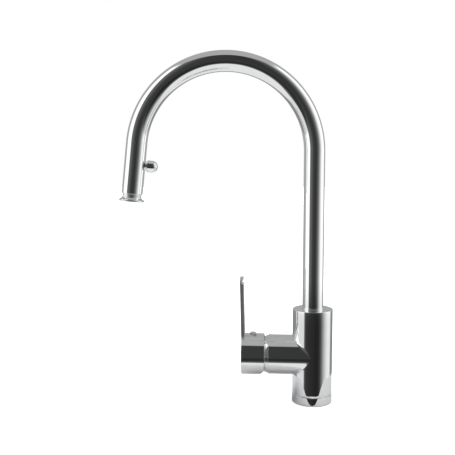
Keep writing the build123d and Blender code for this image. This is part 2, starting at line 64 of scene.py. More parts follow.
BODY_RADIUS = 25.0
BODY_BORE = 22.4
BODY_HEIGHT = 119.0
PLATE_LOW = 113.0
SWIVEL_BORE = 16.1
SWIVEL_BEVEL = 0.3
BODY_RIM = 0.6
MOUTH_RIM = 0.25
FLOOR_TOP = 13.6
SPIGOT_LOW = 1.6
SHANK_SEAT = 16.2
LOCK_HEIGHT = 100.0
LOCK_HOLE = 2.5
RING_TOP = 11.0
RING_RADIUS = 25.1
RING_ROUND = 1.6
RING_BEVEL = 0.05
BRANCH_HEIGHT = 59.75
BRANCH_RADIUS = 24.9
BRANCH_BORE = 22.3
BRANCH_REACH = 55.2
PIVOT_REACH = 49.5
TUBE_RADIUS = 13.0
TUBE_BORE = 11.8
ARC_RADIUS = 109.2
ARC_HEIGHT = 314.5
ARC_SHORTFALL = math.radians(5.84)
SPOUT_FOOT = 89.0
SPOUT_SWING = math.radians(4.1)
BUTTON_STATION = 27.6
SEAM_ROUND = 0.06
WAND_START = 0.1
HOSE_RADIUS = 6.0
HOSE_OFFSET = 7.2

# ---- Frames ----

WORLD = Matrix.Identity(4)
SIDEWAYS = Vector((0, 1, 0))
UPRIGHT = Vector((0, 0, 1))
SWING = Matrix.Rotation(SPOUT_SWING, 4, "Z")


def frame_at(origin, x_dir, z_dir):
    """The matrix of a frame with local X and Z along two directions at right angles."""
    x, z = Vector(x_dir), Vector(z_dir)
    y = z.cross(x)
    turn = Matrix((x, y, z)).transposed().to_4x4()
    return Matrix.Translation(origin) @ turn


BRANCH = frame_at((0, 0, BRANCH_HEIGHT), (0, 0, 1), (-1, 0, 0))
SPOUT_FAR = ARC_RADIUS * math.cos(ARC_SHORTFALL)
SPOUT_DROP = ARC_RADIUS * math.sin(ARC_SHORTFALL)
WAND_DOWN = Vector((-math.sin(ARC_SHORTFALL), 0, -math.cos(ARC_SHORTFALL)))
WAND_INWARD = Vector((math.cos(ARC_SHORTFALL), 0, -math.sin(ARC_SHORTFALL)))
WAND_TOP = Vector((-ARC_RADIUS - SPOUT_FAR, 0, ARC_HEIGHT + SPOUT_DROP))
WAND = SWING @ frame_at(WAND_TOP, WAND_INWARD, WAND_DOWN)
INWARD = WAND @ frame_at((0, 0, BUTTON_STATION), (0, 0, -1), (1, 0, 0))
DECK_HOSE = Matrix.Translation((HOSE_OFFSET, 0, 0))
LOCK_SIDE = frame_at((0, 0, LOCK_HEIGHT), (0, 0, -1), (1, 0, 0))


# ---- Mesh helpers ----


def finish_mesh(name, grid_mesh, place, sharp=32.0):
    """Turns a bmesh in millimetres into a smooth-shaded object in the row frame."""
    bmesh.ops.remove_doubles(grid_mesh, verts=grid_mesh.verts, dist=1e-5)
    bmesh.ops.recalc_face_normals(grid_mesh, faces=grid_mesh.faces)
    mesh = bpy.data.meshes.new(name)
    grid_mesh.to_mesh(mesh)
    grid_mesh.free()
    mesh.transform(Matrix.Scale(MM, 4) @ place)
    return shade(new_object(name, mesh), sharp)


def new_object(name, mesh):
    piece = bpy.data.objects.new(name, mesh)
    bpy.context.scene.collection.objects.link(piece)
    return piece


def shade(piece, sharp=32.0):
    """Shades a piece smooth, apart from edges that turn by more than an angle in degrees."""
    mesh = piece.data
    mesh.polygons.foreach_set("use_smooth", [True] * len(mesh.polygons))
    mesh.set_sharp_from_angle(angle=math.radians(sharp))
    weighted = piece.modifiers.new("Weighted normals", "WEIGHTED_NORMAL")
    weighted.keep_sharp = True
    return piece


def rounded(outline, closed=True, steps=6):
    """An outline of (a, b) or (a, b, fillet) points, with its filleted corners as arcs."""
    points = []
    count = len(outline)
    for i, corner in enumerate(outline):
        here = Vector(corner[:2])
        if len(corner) == 2 or (not closed and i in (0, count - 1)):
            points.append(here)
            continue
        before, after = Vector(outline[i - 1][:2]), Vector(outline[(i + 1) % count][:2])
        points += fillet_arc(before, here, after, corner[2], steps)
    return points


def fillet_arc(before, here, after, radius, steps):
    """The points of a fillet at one corner, cut down where the sides beside it are too short."""
    back, on = before - here, after - here
    half_turn = (math.pi - back.angle(on)) / 2
    reach = min(radius * math.tan(half_turn), 0.49 * back.length, 0.49 * on.length)
    start, end = here + back.normalized() * reach, here + on.normalized() * reach
    true_radius = reach / math.tan(half_turn)
    centre = here + (back.normalized() + on.normalized()).normalized() * math.hypot(reach, true_radius)
    first, last = start - centre, end - centre
    turn = math.atan2(first.x * last.y - first.y * last.x, first.dot(last))
    arc = []
    for k in range(steps + 1):
        angle = turn * k / steps
        cos, sin = math.cos(angle), math.sin(angle)
        arc.append(centre + Vector((first.x * cos - first.y * sin, first.x * sin + first.y * cos)))
    return arc


def arc_points(centre, radius, start, end, steps):
    """Points of (radius, station) on a circle about a point of the axis, from its pole angle."""
    angles = [start + (end - start) * k / steps for k in range(steps + 1)]
    return [(radius * math.sin(a), centre + radius * math.cos(a)) for a in angles]


def even_turns(steps):
    """Angles evenly spaced once round."""
    return [2 * math.pi * i / steps for i in range(steps)]


def circle(work, radius, station, turns):
    """A ring of vertices about local Z, at the given angles."""
    return [work.verts.new((radius * math.cos(t), radius * math.sin(t), station)) for t in turns]


def section_ring(work, centre, across, up, radius_at, steps):
    """A round section about a centre, in the plane of two directions, with a radius for every angle."""
    ring = []
    for t in even_turns(steps):
        outward = across * math.cos(t) + up * math.sin(t)
        ring.append(work.verts.new(centre + outward * radius_at(t)))
    return ring


def join_rings(work, rings, closed_loop=False, wrap=True):
    """Faces between neighbouring rings of vertices with the same count."""
    pairs = list(zip(rings, rings[1:]))
    if closed_loop:
        pairs.append((rings[-1], rings[0]))
    for low, high in pairs:
        last = len(low) if wrap else len(low) - 1
        for i in range(last):
            j = (i + 1) % len(low)
            corners = [low[i], low[j], high[j], high[i]]
            distinct = []
            for vert in corners:
                if vert not in distinct:
                    distinct.append(vert)
            if len(distinct) > 2 and work.faces.get(distinct) is None:
                work.faces.new(distinct)


def lathe(name, outline, place=WORLD, steps=128, closed=True, sharp=32.0):
    """A solid of revolution about local Z. An open outline starts and ends on the axis."""
    work = bmesh.new()
    rings = []
    for radius, station in rounded(outline, closed):
        if radius < 1e-6:
            rings.append([work.verts.new((0, 0, station))] * steps)
            continue
        rings.append(circle(work, radius, station, even_turns(steps)))
    join_rings(work, rings, closed_loop=closed)
    return finish_mesh(name, work, place, sharp)


def subtract(piece, tools):
    """Cuts tool objects out of a piece, and removes the tools."""
    for tool in tools:
        modifier = piece.modifiers.new("Cut", "BOOLEAN")
        modifier.operation = "DIFFERENCE"
        modifier.solver = "EXACT"
        modifier.object = tool
    for modifier in [m for m in piece.modifiers if m.type == "WEIGHTED_NORMAL"]:
        piece.modifiers.remove(modifier)
    bpy.context.view_layer.update()
    graph = bpy.context.evaluated_depsgraph_get()
    mesh = bpy.data.meshes.new_from_object(piece.evaluated_get(graph))
    piece.modifiers.clear()
    piece.data = mesh
    for tool in tools:
        bpy.data.objects.remove(tool)
    return shade(piece)


def cutter_rod(radius, low, high, place, steps=64):
    outline = [(0, low), (radius, low), (radius, high), (0, high)]
    return lathe("cutter", outline, place, steps, closed=False)


def cutter_box(size, centre, place):
    work = bmesh.new()
    bmesh.ops.create_cube(work, size=1.0)
    bmesh.ops.scale(work, vec=size, verts=work.verts)
    bmesh.ops.translate(work, vec=centre, verts=work.verts)
    return finish_mesh("cutter", work, place)


def joined(name, pieces):
    """One object from several, in the row frame."""
    work = bmesh.new()
    for piece in pieces:
        mesh = piece.data.copy()
        mesh.transform(piece.matrix_world)
        work.from_mesh(mesh)
        bpy.data.meshes.remove(mesh)
        bpy.data.objects.remove(piece)
    mesh = bpy.data.meshes.new(name)
    work.to_mesh(mesh)
    work.free()
    return shade(new_object(name, mesh))


# ---- Body ----

COLUMNS = 192
CREASE_ROWS = 14


def tee_points(barrel, side):
    """Where the branch surface of radius side meets the barrel, once round the branch."""
    points = []
    for k in range(COLUMNS):
        turn = 2 * math.pi * k / COLUMNS
        y = side * math.sin(turn)
        points.append(Vector((-math.sqrt(barrel**2 - y**2), y, BRANCH_HEIGHT + side * math.cos(turn))))
    return points


def tee_skin(work, barrel, side, low, high, reach):
    """One skin of the tee. Returns its bottom ring, top ring and branch-end ring."""
    crease = [work.verts.new(p) for p in tee_points(barrel, side)]
    quarter = COLUMNS // 4
    upper = [crease[k % COLUMNS] for k in range(-quarter, quarter + 1)]
    lower = [crease[(COLUMNS // 2 - k) % COLUMNS] for k in range(-quarter, quarter + 1)]
    rims = {}
    for seam, station in ((upper, high), (lower, low)):
        rows = [seam]
        for row in range(1, CREASE_ROWS + 1):
            part = row / CREASE_ROWS
            heights = [v.co.z + (station - v.co.z) * part for v in seam]
            rows.append([work.verts.new((v.co.x, v.co.y, z)) for v, z in zip(seam, heights)])
        join_rings(work, rows, wrap=False)
        rims[station] = rows
    first = math.atan2(upper[-1].co.y, upper[-1].co.x)
    last = math.atan2(upper[0].co.y, upper[0].co.x)
    back_columns = COLUMNS // 2
    angles = [first + (last - first) * i / back_columns for i in range(1, back_columns)]
    stations = [row[0].co.z for row in reversed(rims[low])] + [row[0].co.z for row in rims[high][1:]]
    left = [row[-1] for row in reversed(rims[low])] + [row[-1] for row in rims[high][1:]]
    right = [row[0] for row in reversed(rims[low])] + [row[0] for row in rims[high][1:]]
    back = []
    for level, station in enumerate(stations):
        middle = [work.verts.new((barrel * math.cos(a), barrel * math.sin(a), station)) for a in angles]
        back.append([left[level]] + middle + [right[level]])
    join_rings(work, back, wrap=False)
    tube = [crease]
    for row in range(1, CREASE_ROWS + 1):
        part = row / CREASE_ROWS
        tube.append([work.verts.new((v.co.x + (-reach - v.co.x) * part, v.co.y, v.co.z)) for v in crease])
    join_rings(work, tube)
    bottom = rims[low][-1] + back[0][1:-1]
    top = rims[high][-1] + back[-1][1:-1]
    return bottom, top, tube[-1]


def ring_like(work, ring, radius, station):
    """A ring of the same angles about Z as another, at its own radius and station."""
    return circle(work, radius, station, [math.atan2(v.co.y, v.co.x) for v in ring])


def branch_ring_like(work, ring, radius, reach):
    """The same about the branch."""
    copies = []
    for vert in ring:
        t = math.atan2(vert.co.y, vert.co.z - BRANCH_HEIGHT)
        copies.append(work.verts.new((-reach, radius * math.sin(t), BRANCH_HEIGHT + radius * math.cos(t))))
    return copies


def bridge(work, start, end, outline, make_ring):
    """Rings through an outline of (radius, station), from one ring of the tee to another."""
    middle = [make_ring(work, start, radius, station) for radius, station in outline]
    join_rings(work, [start] + middle + [end])


def edge_arc(radius, station, size):
    """The points of a quarter-round edge, from the side towards the end face."""
    points = []
    for k in range(1, 6):
        a = math.pi / 2 * k / 5
        points.append((radius - size * (1 - math.cos(a)), station - size * (1 - math.sin(a))))
    return points


def make_body_form():
    work = bmesh.new()
    rim_height, mouth_reach = BODY_HEIGHT - BODY_RIM, BRANCH_REACH - MOUTH_RIM
    outer = tee_skin(work, BODY_RADIUS, BRANCH_RADIUS, RING_TOP, rim_height, mouth_reach)
    inner = tee_skin(work, BODY_BORE, BRANCH_BORE, FLOOR_TOP, PLATE_LOW, BRANCH_REACH)
    top = edge_arc(BODY_RADIUS, BODY_HEIGHT, BODY_RIM)
    top += [(SWIVEL_BORE + SWIVEL_BEVEL, BODY_HEIGHT), (SWIVEL_BORE, BODY_HEIGHT - SWIVEL_BEVEL)]
    top.append((SWIVEL_BORE, PLATE_LOW))
    bridge(work, outer[1], inner[1], top, ring_like)
    bottom = [(BODY_BORE, RING_TOP), (BODY_BORE, SPIGOT_LOW)]
    bottom += [(SHANK_SEAT, SPIGOT_LOW), (SHANK_SEAT, FLOOR_TOP)]
    bridge(work, outer[0], inner[0], bottom, ring_like)
    mouth = edge_arc(BRANCH_RADIUS, BRANCH_REACH, MOUTH_RIM)
    bridge(work, outer[2], inner[2], mouth, branch_ring_like)
    body = finish_mesh("body_form", work, WORLD, 24.0)
    return subtract(body, [cutter_rod(LOCK_HOLE, 20.0, 27.0, LOCK_SIDE, 40)])


def make_base_ring():
    outline = [(BODY_BORE, 0), (RING_RADIUS, 0, RING_ROUND), (RING_RADIUS, RING_TOP, RING_BEVEL)]
    outline.append((BODY_BORE, RING_TOP))
    return lathe("base_ring_form", outline, steps=160)


def make_spout_lock_screw():
    thread = LOCK_HOLE - 0.04
    outline = [(0, 14.8), (1.9, 14.8), (1.9, 15.8), (thread, 15.8), (thread, 24.4, 0.3), (0, 24.4)]
    screw = lathe("lock_screw_form", outline, LOCK_SIDE, 48, closed=False)
    return subtract(screw, [hex_cutter(1.4, 21.4, 25.0, LOCK_SIDE)])


def hex_cutter(radius, low, high, place):
    work = bmesh.new()
    rings = [circle(work, radius, station, even_turns(6)) for station in (low, high)]
    join_rings(work, rings)
    work.faces.new(rings[0])
    work.faces.new(rings[1])
    return finish_mesh("cutter", work, place)


# ---- Dome and lever ----

DOME_RADIUS = 24.8
DOME_WALL = 1.6
DOME_OPENING = 66.0
SKIRT_START = 46.0
SKIRT_BORE = 20.4
SKIRT_RADIUS = 22.2
HUB_RADIUS = 25.9
HUB_INNER = 60.2
HUB_OUTER = 88.8
HUB_CAVITY = 25.1
HUB_CUT_REACH = 62.8
HUB_CUT_DROP = 20.1
HUB_CUT_TILT = math.radians(36.5)
HUB_CUT_SIZE = 80.0
BOSS_RADIUS = 8.5
BOSS_START = 63.0
BLADE_LEAN = math.radians(1.35)
BLADE_THICKNESS = 4.3
BLADE_HALF_WIDTH = 9.5
BLADE_TOP = 158.8
BLADE_FOOT = -4.0
BLADE_EDGE = 0.2
SLOT_PLAY = 0.06
GRIP_HEIGHT = 152.0
GRIP_RADIUS = 2.5
GRIP_DEPTH = 2.4
PLUG_REACH = 74.6
PLUG_RADIUS = 3.88
PLUG_PLAY = 0.05
PLUG_SEAT = 21.5
PLUG_TOP = 28.18
PLUG_ROUND = 2.0
PLUG_DIMPLE = 1.1
PLUG_DIMPLE_DEPTH = 1.0
LEAN = Matrix.Translation((-HUB_OUTER, 0, BRANCH_HEIGHT)) @ Matrix.Rotation(-BLADE_LEAN, 4, "Y")
UPWARD = BRANCH @ frame_at((0, 0, PLUG_REACH), (0, 0, 1), (1, 0, 0))


def pole_angle(reach, radius):
    """The angle from the branch's axis at which a ball on the lever's pivot crosses a reach."""
    return math.acos((reach - PIVOT_REACH) / radius)


def make_dome():
    inner = DOME_RADIUS - DOME_WALL
    near, far = pole_angle(BRANCH_REACH, DOME_RADIUS), pole_angle(DOME_OPENING, DOME_RADIUS)
    outline = [(SKIRT_BORE, SKIRT_START), (SKIRT_RADIUS, SKIRT_START, 0.3), (SKIRT_RADIUS, BRANCH_REACH)]
    outline += arc_points(PIVOT_REACH, DOME_RADIUS, near, far, 28)
    near, far = pole_angle(BRANCH_REACH, inner), pole_angle(DOME_OPENING, inner)
    outline += arc_points(PIVOT_REACH, inner, far, near, 20)
    outline.append((SKIRT_BORE, BRANCH_REACH))
    return lathe("dome_form", outline, BRANCH, 160, sharp=40)


def make_hub():
    """The hub: hollow for the dome, cut away underneath and slotted for the blade."""
    boss_angle = math.asin(BOSS_RADIUS / HUB_CAVITY)
    outline = [(0, HUB_OUTER), (HUB_RADIUS, HUB_OUTER, 0.3), (HUB_RADIUS, HUB_INNER, 0.15)]
    outline += arc_points(PIVOT_REACH, HUB_CAVITY, pole_angle(HUB_INNER, HUB_CAVITY), boss_angle, 24)
    outline += [(BOSS_RADIUS, BOSS_START, 0.4), (0, BOSS_START)]
    hub = lathe("hub_form", outline, BRANCH, 192, closed=False)
    corner = Matrix.Translation((-HUB_CUT_DROP, 0, HUB_CUT_REACH)) @ Matrix.Rotation(HUB_CUT_TILT, 4, "Y")
    cut_size = (HUB_CUT_SIZE, HUB_CUT_SIZE, HUB_CUT_SIZE / 2)
    slot_size = (BLADE_THICKNESS + 2, 2 * BLADE_HALF_WIDTH + SLOT_PLAY, 44)
    tools = [
        cutter_box(cut_size, (0, 0, -HUB_CUT_SIZE / 4), BRANCH @ corner),
        cutter_box(slot_size, (BLADE_THICKNESS / 2 - 1, 0, 18), LEAN),
        cutter_rod(PLUG_RADIUS + PLUG_PLAY, PLUG_SEAT, HUB_RADIUS + 4.1, UPWARD),
    ]
    return subtract(hub, tools)


def rounded_section(half_width, thickness, edge, corner_steps=5):
    """A closed loop of (x, y): a rectangle with quarter-round corners, x from 0 to its thickness."""
    edge = min(edge, half_width * 0.98, thickness / 2 * 0.98)
    centres = (
        (thickness - edge, half_width - edge, 0),
        (edge, half_width - edge, 1),
        (edge, edge - half_width, 2),
        (thickness - edge, edge - half_width, 3),
    )
    loop = []
    for cx, cy, quarter in centres:
        for k in range(corner_steps + 1):
            a = math.pi / 2 * (quarter + k / corner_steps)
            loop.append((cx + edge * math.cos(a), cy + edge * math.sin(a)))
    return loop


def grip_cut(height):
    """How deep the finger groove is at a height above the deck."""
    off = abs(height - GRIP_HEIGHT)
    if off >= GRIP_RADIUS:
        return 0.0
    return max(0.0, math.sqrt(GRIP_RADIUS**2 - off**2) - (GRIP_RADIUS - GRIP_DEPTH))


def make_blade():
    """The lever's blade: straight sides, a half-round top and a groove across its inner face."""
    top = BLADE_TOP - BRANCH_HEIGHT
    arc_centre = top - BLADE_HALF_WIDTH
    grip = GRIP_HEIGHT - BRANCH_HEIGHT
    grip_half = math.sqrt(GRIP_RADIUS**2 - (GRIP_RADIUS - GRIP_DEPTH) ** 2)
    heights = [BLADE_FOOT + (arc_centre - BLADE_FOOT) * k / 30 for k in range(30)]
    heights += [arc_centre + BLADE_HALF_WIDTH * math.sin(math.pi / 2 * k / 40) for k in range(40)]
    heights = [z for z in heights if abs(z - grip) > grip_half]
    heights += [grip - grip_half * math.cos(math.pi * k / 24) for k in range(25)]
    heights = sorted(heights + [top - 0.003])
    work = bmesh.new()
    rings = []
    for z in heights:
        above = max(0.0, z - arc_centre)
        half = math.sqrt(max(BLADE_HALF_WIDTH**2 - above**2, 1e-4))
        section = rounded_section(half, BLADE_THICKNESS - grip_cut(z + BRANCH_HEIGHT), BLADE_EDGE)
        rings.append([work.verts.new((x, y, z)) for x, y in section])
    join_rings(work, rings)
    work.faces.new(rings[0])
    work.faces.new(rings[-1])
    return finish_mesh("blade_form", work, LEAN, 40)


def make_plug():
    """The plug over the set screw, with a rounded top and a dimple in it."""
    dimple_floor = PLUG_TOP - PLUG_DIMPLE_DEPTH
    outline = [(0, PLUG_SEAT), (PLUG_RADIUS, PLUG_SEAT), (PLUG_RADIUS, PLUG_TOP, PLUG_ROUND)]
    outline += [(PLUG_DIMPLE, PLUG_TOP, 0.15), (PLUG_DIMPLE, dimple_floor), (0, dimple_floor)]
    return lathe("plug_form", outline, UPWARD, 64, closed=False)


# ---- Spout ----


def spout_station(distance):
    """The centre and the way across the arc's plane, at a distance up the spout from its foot."""
    straight = ARC_HEIGHT - SPOUT_FOOT
    if distance <= straight:
        return Vector((0, 0, SPOUT_FOOT + distance)), Vector((1, 0, 0))
    angle = (distance - straight) / ARC_RADIUS
    centre = Vector((-ARC_RADIUS, 0, ARC_HEIGHT))
    outward = Vector((math.cos(angle), 0, math.sin(angle)))
    return centre + outward * ARC_RADIUS, outward


def spout_ring(work, distance, radius):
    centre, outward = spout_station(distance)
    return section_ring(work, centre, outward, SIDEWAYS, lambda t: radius, 128)


def make_spout():
    straight = ARC_HEIGHT - SPOUT_FOOT
    whole = straight + ARC_RADIUS * (math.pi - ARC_SHORTFALL)
    runs = [straight * k / 24 for k in range(24)]
    runs += [straight + (whole - SEAM_ROUND - straight) * k / 150 for k in range(151)]
    profile = [(d, TUBE_RADIUS) for d in runs] + [(whole, TUBE_RADIUS - SEAM_ROUND), (whole, TUBE_BORE)]
    profile += [(d, TUBE_BORE) for d in reversed(runs)]
    work = bmesh.new()
    rings = [spout_ring(work, d, radius) for d, radius in profile]
    join_rings(work, rings, closed_loop=True)
    return finish_mesh("spout_form", work, SWING)


def make_collar():
    """The collar between the body's top and the spout."""
    foot, top = BODY_HEIGHT - 2.0, BODY_HEIGHT + 2.0
    flange, ring, bore = 16.02, 13.8, 13.02
    outline = [(flange, foot), (flange, BODY_HEIGHT, 0.3), (ring, BODY_HEIGHT, 0.15)]
    outline += [(ring, top, 0.5), (bore, top), (bore, foot)]
    return lathe("collar_form", outline, SWING)


# ---- Wand ----

SHELL_END = 62.9
SHELL_BORE = 11.6
NECK_RADIUS = 11.7
NOZZLE_BORE = 9.6
NOZZLE_START = 58.0
BUTTON_HOLE = 5.4
WAND_LENGTH = 72.6
LIP_RADIUS = 15.5
LIP_HEIGHT = 2.3
KNOB_RADIUS = 7.2
KNOB_BASE = 15.2
KNOB_TIP = 28.4
PLATE_RADIUS = 12.6
PLATE_START = 69.6
SPRAY_RADIUS = 10.2
SPRAY_HOLES = 16


def make_wand_shell():
    outline = [(SHELL_BORE, WAND_START), (TUBE_RADIUS, WAND_START, SEAM_ROUND), (TUBE_RADIUS, SHELL_END, 1.0)]
    outline += [(SHELL_BORE + 0.1, SHELL_END), (SHELL_BORE, SHELL_END - 0.1)]
    shell = lathe("wand_form", outline, WAND)
    return subtract(shell, [cutter_rod(BUTTON_HOLE, 8.0, 14.0, INWARD)])


def make_bezel():
    bore, step, rim = 4.6, 12.4, 6.3
    outline = [(bore, 11.9), (BUTTON_HOLE, 11.9), (BUTTON_HOLE, step), (rim, step), (rim, 13.6, 0.5)]
    outline.append((bore, 13.6, 0.2))
    return lathe("bezel_form", outline, INWARD, 96)


def make_knob():
    neck, neck_start = 4.55, 12.6
    outline = [(0, neck_start), (neck, neck_start, 0.2)]
    outline += [(neck, KNOB_BASE, 0.1), (KNOB_RADIUS, KNOB_BASE, 0.8)]
    outline += arc_points(KNOB_TIP - KNOB_RADIUS, KNOB_RADIUS, math.pi / 2, 0, 24)
    return lathe("knob_form", outline, INWARD, 96, closed=False)


def make_nozzle():
    lip_low = WAND_LENGTH - LIP_HEIGHT
    outline = [
        (NOZZLE_BORE, NOZZLE_START),
        (SHELL_BORE - 0.02, NOZZLE_START),
        (SHELL_BORE - 0.02, SHELL_END),
        (NECK_RADIUS, SHELL_END + 0.05),
        (NECK_RADIUS, SHELL_END + 4.6, 2.5),
        (NECK_RADIUS + 1.7, lip_low - 0.9, 1.2),
        (LIP_RADIUS, lip_low, 0.9),
        (LIP_RADIUS, WAND_LENGTH, 1.0),
        (PLATE_RADIUS, WAND_LENGTH, 0.2),
        (PLATE_RADIUS, PLATE_START),
        (NOZZLE_BORE, PLATE_START),
    ]
    return lathe("nozzle_form", outline, WAND, 128)


def make_spray_face():
    """The ring of soft spray nubs around the aerator."""
    bore, rim, top = 7.62, PLATE_RADIUS - 0.02, 71.6
    plate = [(bore, PLATE_START), (rim, PLATE_START), (rim, top, 0.3), (bore, top, 0.3)]
    parts = [lathe("plate", plate, WAND, 96)]
    nub = [(0.45, 71.0), (1.15, 71.0), (0.95, 72.35, 0.25), (0.45, 72.35, 0.1), (0.45, 71.2)]
    for k in range(SPRAY_HOLES):
        turn = Matrix.Rotation(2 * math.pi * k / SPRAY_HOLES, 4, "Z")
        parts.append(lathe("nub", nub, WAND @ turn @ Matrix.Translation((SPRAY_RADIUS, 0, 0)), 20))
    return joined("spray_face_form", parts)


def make_aerator():
    outline = [(6.4, 64.2), (7.58, 64.2), (7.58, 72.1, 0.5), (6.4, 72.1, 0.4)]
    return lathe("aerator_form", outline, WAND, 96)


def make_screen():
    """The aerator's screen: a woven grid of round wires."""
    low, rim, pitch, wire = 70.6, 6.38, 1.1, 0.16
    parts = []
    count = int(rim / pitch)
    for side in (0, 1):
        turn = Matrix.Rotation(math.pi / 2 * side, 4, "Z")
        for k in range(-count, count + 1):
            y = k * pitch
            half = math.sqrt(rim**2 - y**2)
            along = frame_at((0, y, low + 0.3 * side), (0, 0, -1), (1, 0, 0))
            wire_outline = [(0, -half), (wire, -half), (wire, half), (0, half)]
            parts.append(lathe("wire", wire_outline, WAND @ turn @ along, 8, closed=False))
    back = [(0, 66.4), (rim, 66.4), (rim, 66.9), (0, 66.9)]
    parts.append(lathe("back", back, WAND, 48, closed=False))
    return joined("screen_form", parts)


def make_spring():
    """The coil that returns the button, from its seat to the spool."""
    low, high, radius, wire, turns = -10.3, -6.2, 2.5, 0.32, 5
    work = bmesh.new()
    rings = []
    count = turns * 24
    for k in range(count + 1):
        angle = 2 * math.pi * turns * k / count
        centre = Vector((radius * math.cos(angle), radius * math.sin(angle), low + (high - low) * k / count))
        outward = Vector((math.cos(angle), math.sin(angle), 0))
        rings.append(section_ring(work, centre, outward, UPRIGHT, lambda t: wire, 10))
    join_rings(work, rings)
    work.faces.new(rings[0])
    work.faces.new(rings[-1])
    return finish_mesh("spring_form", work, INWARD)


# ---- Hose ----

BRAID_STRANDS = 12
BRAID_PITCH = 22.0
BRAID_DEPTH = 0.22
BRAID_INSET = 0.02


def braid_radius(turn, distance):
    """The hose's outside over its braid, at an angle and a distance along it."""
    right = math.cos(BRAID_STRANDS * (turn + 2 * math.pi * distance / BRAID_PITCH))
    left = math.cos(BRAID_STRANDS * (turn - 2 * math.pi * distance / BRAID_PITCH))
    return HOSE_RADIUS - BRAID_INSET - BRAID_DEPTH * (1 - max(right, left)) / 2


def braided(name, stations, distances, place, steps=72):
    """A braided hose through (centre, across) stations in the X-Z plane, each at its distance along."""
    work = bmesh.new()
    rings = []
    for (centre, across), along in zip(stations, distances):
        rings.append(section_ring(work, centre, across, SIDEWAYS, lambda t: braid_radius(t, along), steps))
    join_rings(work, rings)
    work.faces.new(rings[0])
    work.faces.new(rings[-1])
    return finish_mesh(name, work, place, 60)


def smooth_inverse(share):
    """The value whose smooth step is the share, so that a stretched hose keeps an even braid."""
    return 0.5 - math.sin(math.asin(1 - 2 * share) / 3)


PULL_START = 8.7
PULL_END = 12.3
PULL_RANGE = 250.0


def make_pulled_hose():
    """The hose between the dock and the wand's nut, made gathered up short, with its braid laid out for the
    full pull.
    """
    count = 360
    stations, distances = [], []
    for k in range(count + 1):
        share = k / count
        w = PULL_START + (PULL_END - PULL_START) * smooth_inverse(share)
        stations.append((Vector((0, 0, w)), Vector((1, 0, 0))))
        distances.append(share * (PULL_RANGE + PULL_END - PULL_START))
    return braided("pulled_hose_form", stations, distances, WAND, 48)


HOSE_LOW = -66.0
HOSE_SPLIT = 152.0
HOSE_BEND_LOW = 55.0
HOSE_BEND_HIGH = 155.0


def hose_station(height):
    """The hose's centre in the body, and the way across it: offset at the deck, central in the spout."""
    reach = HOSE_BEND_HIGH - HOSE_BEND_LOW
    part = min(1.0, max(0.0, (height - HOSE_BEND_LOW) / reach))
    x = HOSE_OFFSET * (1 - part * part * (3 - 2 * part))
    slope = -HOSE_OFFSET * 6 * part * (1 - part) / reach
    return Vector((x, 0, height)), Vector((1, 0, -slope)).normalized()


def make_deck_hose():
    """The hose from its coupling below the deck up through the body."""
    count = 300
    heights = [HOSE_LOW + (HOSE_SPLIT - HOSE_LOW) * k / count for k in range(count + 1)]
    return braided("deck_hose_form", [hose_station(z) for z in heights], heights, WORLD)


def make_coupling():
    outline = [
        (3.5, -92.0),
        (5.0, -92.0, 0.8),
        (5.0, -78.0, 0.3),
        (4.2, -78.0, 0.3),
        (4.2, -76.0, 0.3),
        (5.0, -76.0, 0.3),
        (5.0, -74.0),
        (7.2, -74.0, 0.6),
        (7.2, -70.5, 0.4),
        (6.6, -70.5, 0.4),
        (6.6, -66.5, 0.4),
        (7.2, -66.5, 0.4),
        (7.2, -62.0, 0.5),
        (6.02, -62.0),
        (6.02, -66.0),
        (3.5, -66.0),
    ]
    return lathe("coupling_form", outline, DECK_HOSE, 96)


# ---- Shank and clamp below the deck ----

THREAD_PITCH = 1.5
THREAD_CREST = 16.3
THREAD_ROOT = 15.45
THREAD_START = -59.0
THREAD_END = -12.6
THREAD_FADE = 1.2
SHANK_LOW = -60.0
SHANK_BORE = 15.0
COLLAR_RADIUS = 16.6
COLLAR_LOW = -12.0
NUT_LOW = -46.0
NUT_HIGH = -36.0
WASHER_HIGH = -34.0
GASKET_HIGH = -31.0
CLAMP_BORE = 17.0
CLAMP_RADIUS = 29.0


def thread_radius(turn, z):
    """The radius of the shank's thread, which fades out at both of its ends."""
    fade = max(0.0, min(1.0, (z - THREAD_START) / THREAD_FADE, (THREAD_END - z) / THREAD_FADE))
    phase = (z / THREAD_PITCH - turn / (2 * math.pi)) % 1.0
    flank = 1 - abs(2 * phase - 1)
    return THREAD_ROOT + (THREAD_CREST - THREAD_ROOT) * fade * min(1.0, flank * 1.15)


def make_shank():
    """The shank: a plain collar, and below it a real helical thread."""
    turns = even_turns(96)
    rows = int((THREAD_END - THREAD_START) / THREAD_PITCH * 8)
    work = bmesh.new()
    rings = [circle(work, SHANK_BORE, SHANK_LOW, turns), circle(work, THREAD_ROOT, SHANK_LOW, turns)]
    for row in range(rows + 1):
        z = THREAD_START + (THREAD_END - THREAD_START) * row / rows
        places = [(thread_radius(t, z), t) for t in turns]
        rings.append([work.verts.new((r * math.cos(t), r * math.sin(t), z)) for r, t in places])
    collar = [
        (THREAD_ROOT, COLLAR_LOW - 0.3),
        (COLLAR_RADIUS - 0.3, COLLAR_LOW),
        (COLLAR_RADIUS, COLLAR_LOW + 0.3),
        (COLLAR_RADIUS, 0.0),
        (SHANK_SEAT, 0.0),
        (SHANK_SEAT, FLOOR_TOP),
        (SHANK_BORE, FLOOR_TOP),
    ]
    rings += [circle(work, radius, z, turns) for radius, z in collar]
    join_rings(work, rings, closed_loop=True)
    return finish_mesh("shank_form", work, WORLD)


